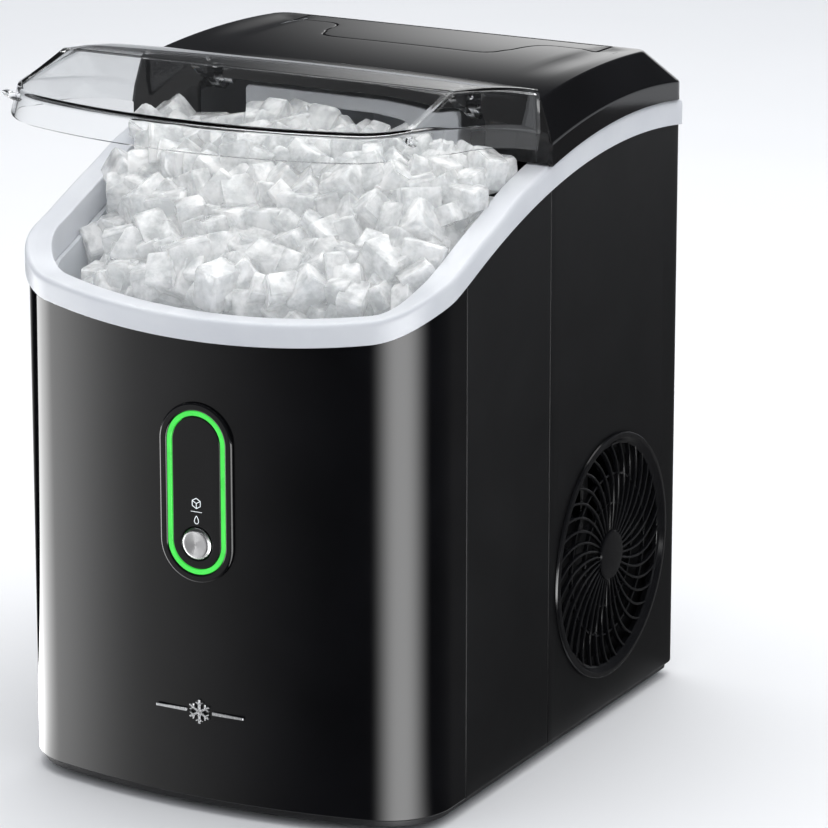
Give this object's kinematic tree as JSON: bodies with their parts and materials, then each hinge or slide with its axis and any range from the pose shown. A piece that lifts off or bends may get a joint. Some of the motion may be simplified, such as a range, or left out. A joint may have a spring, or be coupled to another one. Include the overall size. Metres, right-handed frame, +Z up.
{
  "type": "ice maker",
  "caption": "Countertop nugget ice maker with a glossy bowed front, curved white collar, hinged clear lid over the ice bin, hinged refill flap, control panel and round side vents.",
  "frame": {"origin": "middle of the whole model's box on the surface it stands on, lid open as modelled", "axes": "+Z up, +Y towards the back of the machine, +X to the right of somebody facing its front"},
  "size_m": [0.2476, 0.3426, 0.376],
  "materials": {
    "gloss_black": "high gloss",
    "matte_black": "fine satin grain",
    "white_plastic": "satin",
    "clear_plastic": "clear polished plastic",
    "steel": "brushed",
    "copper": "drawn copper tube",
    "rubber": "matt",
    "foam": "expanded foam",
    "green_light": "lit diffuser",
    "circuit_board": "solder mask",
    "badge_silver": "satin",
    "fin_aluminium": "mill finish"
  },
  "bodies": {
    "cabinet": {"base_tray": "matte_black", "foot_front_left": "rubber", "foot_front_right": "rubber", "foot_rear_left": "rubber", "foot_rear_right": "rubber", "front_shell": "gloss_black", "side_panel_left": "matte_black", "side_panel_right": "matte_black", "rear_shell": "matte_black", "collar": "white_plastic", "bin_liner": "white_plastic", "bin_insulation": "foam", "lid_pin_left": "steel", "lid_pin_right": "steel", "top_cover": "gloss_black", "refill_pin": "steel", "control_bezel": "gloss_black", "light_ring": "green_light", "display_window": "gloss_black", "button_spring": "steel", "control_board": "circuit_board", "control_housing": "matte_black", "front_emblem": "badge_silver", "vent_grille_right": "gloss_black", "vent_grille_left": "gloss_black", "fan_shroud": "matte_black", "fan_motor": "steel", "condenser": "fin_aluminium", "compressor": "gloss_black", "hot_gas_line": "copper", "suction_line": "copper", "filter_drier": "copper", "gear_motor": "steel", "evaporator_barrel": "steel", "extruder_head": "steel", "ice_chute": "white_plastic", "bin_full_sensor": "matte_black", "water_tank": "white_plastic", "tank_lid": "white_plastic", "fill_funnel": "white_plastic", "fill_hose": "white_plastic", "water_pump": "matte_black", "main_board": "circuit_board", "power_inlet": "matte_black", "back_screw_upper_left": "steel", "back_screw_upper_right": "steel", "back_screw_lower_left": "steel", "back_screw_lower_right": "steel"},
    "lid": {"clear_lid": "clear_plastic"},
    "flap": {"refill_flap": "gloss_black"},
    "button": {"start_button": "steel"},
    "fan": {"fan_blades": "matte_black"},
    "auger_screw": {"auger": "steel"},
    "drain": {"drain_plug": "rubber"}
  },
  "joints": [
    {"name": "lid_hinge", "type": "hinge", "parent": "cabinet", "child": "lid", "pos_m": [0, 0.00373, 0.345], "axis": [1, 0, 0], "range_deg": [0, 29.6]},
    {"name": "refill_hinge", "type": "hinge", "parent": "cabinet", "child": "flap", "pos_m": [0, 0.12798, 0.3536], "axis": [-1, 0, 0], "range_deg": [0, 75]},
    {"name": "button_press", "type": "slide", "parent": "cabinet", "child": "button", "axis": [0, 1, 0], "range_m": [0, 0.0012], "stiffness_N_per_m": 500},
    {"name": "fan_spin", "type": "hinge", "parent": "cabinet", "child": "fan", "pos_m": [0.104, 0.07598, 0.092], "axis": [1, 0, 0], "continuous": true},
    {"name": "auger_spin", "type": "hinge", "parent": "cabinet", "child": "auger_screw", "pos_m": [0.01, 0.03698, 0.179], "axis": [0, 0, 1], "continuous": true},
    {"name": "drain_pull", "type": "slide", "parent": "cabinet", "child": "drain", "axis": [0, 1, 0], "range_m": [0, 0.02]}
  ]
}
